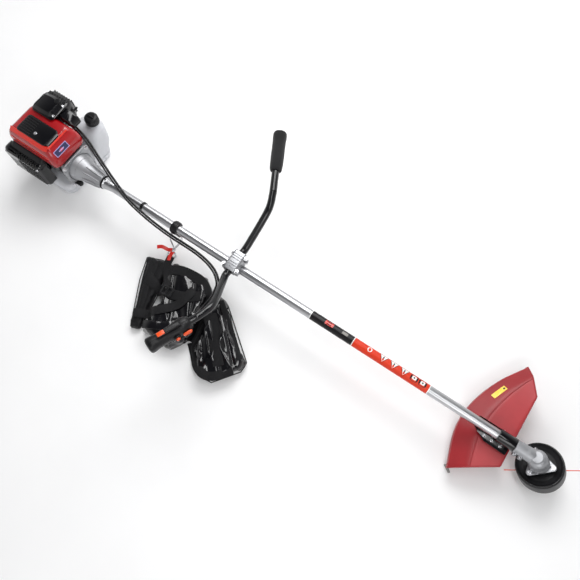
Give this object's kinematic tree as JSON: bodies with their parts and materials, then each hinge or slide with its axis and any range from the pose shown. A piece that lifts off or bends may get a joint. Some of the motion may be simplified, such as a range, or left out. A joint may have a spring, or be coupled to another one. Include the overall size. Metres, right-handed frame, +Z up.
{
  "type": "brush cutter",
  "caption": "Straight-shaft petrol brush cutter with a bicycle-type handlebar, fuel tank, fan-shaped guard, line trimmer head and a hooked-on harness lying beside it.",
  "frame": {"origin": "bottom centre of the bounding box, on the ground the machine lies on", "axes": "+X along the shaft from the engine to the trimmer head, +Y to the operator's left, +Z up"},
  "size_m": [1.8406, 0.7076, 0.2724],
  "materials": {
    "steel": "bright zinc-plated steel",
    "aluminium": "drawn, satin",
    "cast_aluminium": "die-cast, silver paint",
    "black_plastic": "moulded, semi-gloss",
    "rubber": "matte",
    "black_paint": "gloss black",
    "red_plastic": "moulded, glossy",
    "orange_plastic": "moulded",
    "tank_plastic": "translucent grey-white",
    "harness_cloth": "coated cloth, shiny",
    "line_nylon": "extruded nylon"
  },
  "bodies": {
    "frame": {"air_filter_base": "black_plastic", "air_filter_cover": "black_plastic", "bracket_clamp": "black_plastic", "bracket_plate": "black_paint", "carburettor": "aluminium", "clutch_housing": "cast_aluminium", "cover_insert": "black_plastic", "crankcase": "cast_aluminium", "cylinder": "cast_aluminium", "damper_ring": "rubber", "fan_housing": "cast_aluminium", "fan_shroud": "cast_aluminium", "fuel_tank": "tank_plastic", "gear_case": "cast_aluminium", "gear_case_flange": "aluminium", "guard": "red_plastic", "handle_clamp_base": "aluminium", "handle_clamp_cap": "aluminium", "left_bar": "black_paint", "left_grip": "rubber", "line_blade": "steel", "muffler": "steel", "muffler_guard": "black_plastic", "primer_bulb": "black_plastic", "right_bar": "black_paint", "shaft_tube": "aluminium", "spark_plug": "steel", "spindle_bearing": "steel", "starter_housing": "black_plastic", "suspension_clamp": "black_plastic", "throttle_cable": "rubber", "throttle_grip": "black_plastic", "top_cover": "red_plastic", "tube_bush": "rubber"},
    "crank": {"crankshaft": "steel", "flywheel": "cast_aluminium", "starter_pulley": "black_plastic", "clutch_shoes": "steel"},
    "drive": {"clutch_drum": "steel", "drive_shaft": "steel", "pinion": "steel"},
    "head": {"spindle": "steel", "bevel_gear": "steel", "trimmer_head_cup": "black_plastic", "line_spool": "black_plastic", "trimmer_head_cover": "black_plastic", "cutting_line": "line_nylon"},
    "bump_knob": {"bump_knob": "black_plastic"},
    "starter_grip": {"starter_grip": "black_plastic"},
    "fuel_cap": {"fuel_cap": "black_plastic"},
    "choke_lever": {"choke_lever": "black_plastic"},
    "trigger": {"throttle_trigger": "black_plastic"},
    "safety_lever": {"safety_lever": "black_plastic"},
    "stop_switch": {"stop_switch": "orange_plastic"},
    "lock_button": {"lock_button": "orange_plastic"},
    "harness": {"snap_hook": "steel", "release_strap": "red_plastic", "harness_hip_pad": "harness_cloth", "harness_bundle": "harness_cloth", "harness_thigh_pad": "harness_cloth"}
  },
  "joints": [
    {"name": "crank_spin", "type": "hinge", "parent": "frame", "child": "crank", "pos_m": [-0.80626, -0.01926, 0.112], "axis": [1, 0, 0], "continuous": true},
    {"name": "head_spin", "type": "hinge", "parent": "frame", "child": "head", "pos_m": [0.80934, -0.01926, 0.112], "axis": [0.5, 0, -0.866], "continuous": true},
    {"name": "drive_spin", "type": "hinge", "parent": "frame", "child": "drive", "pos_m": [-0.01626, -0.01926, 0.112], "axis": [1, 0, 0], "continuous": true},
    {"name": "bump_press", "type": "slide", "parent": "head", "child": "bump_knob", "axis": [-0.5, 0, 0.866], "range_m": [0, 0.004], "stiffness_N_per_m": 400},
    {"name": "starter_pull", "type": "slide", "parent": "frame", "child": "starter_grip", "axis": [-1, 0, 0], "range_m": [0, 0.06], "stiffness_N_per_m": 60},
    {"name": "fuel_cap_turn", "type": "hinge", "parent": "frame", "child": "fuel_cap", "pos_m": [-0.76626, 0.11474, 0.152], "axis": [0, 0, 1], "continuous": true},
    {"name": "choke_turn", "type": "hinge", "parent": "frame", "child": "choke_lever", "pos_m": [-0.79006, 0.07574, 0.203], "axis": [1, 0, 0], "range_deg": [0, 60]},
    {"name": "trigger_pull", "type": "hinge", "parent": "frame", "child": "trigger", "pos_m": [-0.1093, -0.25984, 0.20268], "axis": [-0.9292, 0.3696, 0], "range_deg": [0, 10], "stiffness_Nm_per_rad": 0.2},
    {"name": "safety_press", "type": "hinge", "parent": "frame", "child": "safety_lever", "pos_m": [-0.10828, -0.25726, 0.25511], "axis": [0.9292, -0.3696, 0], "range_deg": [0, 12], "stiffness_Nm_per_rad": 0.1, "springref_deg": -5.73},
    {"name": "stop_switch_slide", "type": "slide", "parent": "frame", "child": "stop_switch", "axis": [-0.3691, -0.9279, 0.0527], "range_m": [0, 0.006]},
    {"name": "lock_press", "type": "slide", "parent": "frame", "child": "lock_button", "axis": [-0.9292, 0.3696, 0], "range_m": [0, 0.0025], "stiffness_N_per_m": 80, "springref_m": -0.002},
    {"name": "harness_swing", "type": "hinge", "parent": "frame", "child": "harness", "pos_m": [-0.34426, -0.01926, 0.079], "axis": [0, 0, 1], "range_deg": [-8, 8]}
  ],
  "couplings": [
    {"joint": "drive_spin", "follows": "head_spin", "ratio": 1.8}
  ]
}
